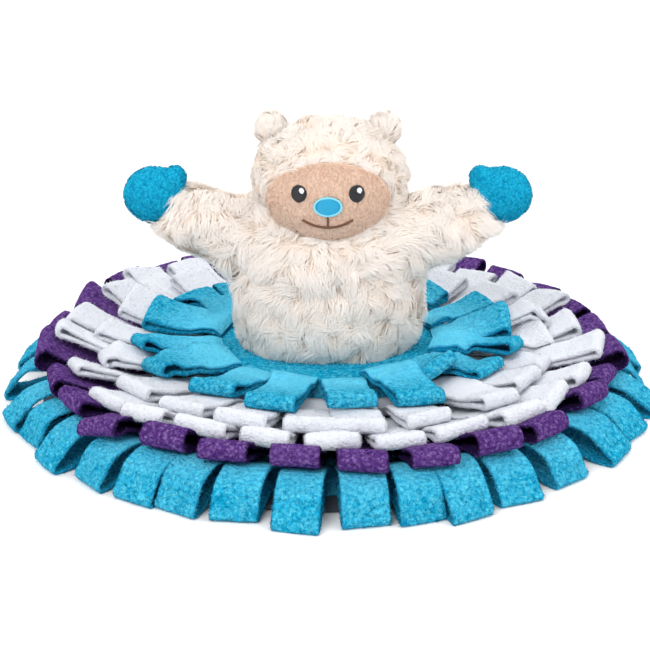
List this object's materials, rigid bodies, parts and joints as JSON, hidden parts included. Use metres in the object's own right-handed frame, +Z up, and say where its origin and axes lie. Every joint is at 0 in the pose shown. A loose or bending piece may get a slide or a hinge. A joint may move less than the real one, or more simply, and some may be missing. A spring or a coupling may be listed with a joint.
{
  "type": "snuffle mat",
  "caption": "Round snuffle mat with rings of folded fleece loops on a felt base and a furry plush figure at its centre",
  "frame": {"origin": "middle of the flat underside, on the surface that the mat lies on", "axes": "+Z up, the plush figure looks along -Y, +X to its left hand side as it is seen from the front on the right"},
  "size_m": [0.403, 0.4024, 0.18],
  "materials": {
    "grey_felt": "needled felt",
    "blue_fleece": "brushed fleece",
    "purple_fleece": "brushed fleece",
    "white_fleece": "brushed fleece",
    "cream_fur": "long pile",
    "tan_plush": "short pile",
    "blue_plush": "short pile"
  },
  "bodies": {
    "root": {"base_pad": "grey_felt", "outer_band": "blue_fleece", "centre_disc": "blue_fleece", "ring_blue_inner": "blue_fleece", "outer_loop_01": "blue_fleece", "outer_loop_02": "blue_fleece", "outer_loop_03": "blue_fleece", "outer_loop_04": "blue_fleece", "outer_loop_05": "blue_fleece", "outer_loop_06": "blue_fleece", "outer_loop_07": "blue_fleece", "outer_loop_08": "blue_fleece", "outer_loop_09": "blue_fleece", "outer_loop_10": "blue_fleece", "outer_loop_11": "blue_fleece", "outer_loop_12": "blue_fleece", "outer_loop_13": "blue_fleece", "outer_loop_14": "blue_fleece", "outer_loop_15": "blue_fleece", "outer_loop_16": "blue_fleece", "outer_loop_17": "blue_fleece", "outer_loop_18": "blue_fleece", "outer_loop_19": "blue_fleece", "outer_loop_20": "blue_fleece", "outer_loop_21": "blue_fleece", "outer_loop_22": "blue_fleece", "outer_loop_23": "blue_fleece", "outer_loop_24": "blue_fleece", "outer_loop_25": "blue_fleece", "outer_loop_26": "blue_fleece", "outer_loop_27": "blue_fleece", "outer_loop_28": "blue_fleece", "outer_loop_29": "blue_fleece", "outer_loop_30": "blue_fleece", "outer_loop_31": "blue_fleece", "outer_loop_32": "blue_fleece", "outer_loop_33": "blue_fleece", "outer_loop_34": "blue_fleece", "ring_purple": "purple_fleece", "ring_white_outer": "white_fleece", "ring_white_inner": "white_fleece", "plush_body": "cream_fur", "ear_left": "cream_fur", "ear_right": "cream_fur", "face_patch": "tan_plush", "paw_left": "blue_plush", "paw_right": "blue_plush"}
  },
  "joints": []
}
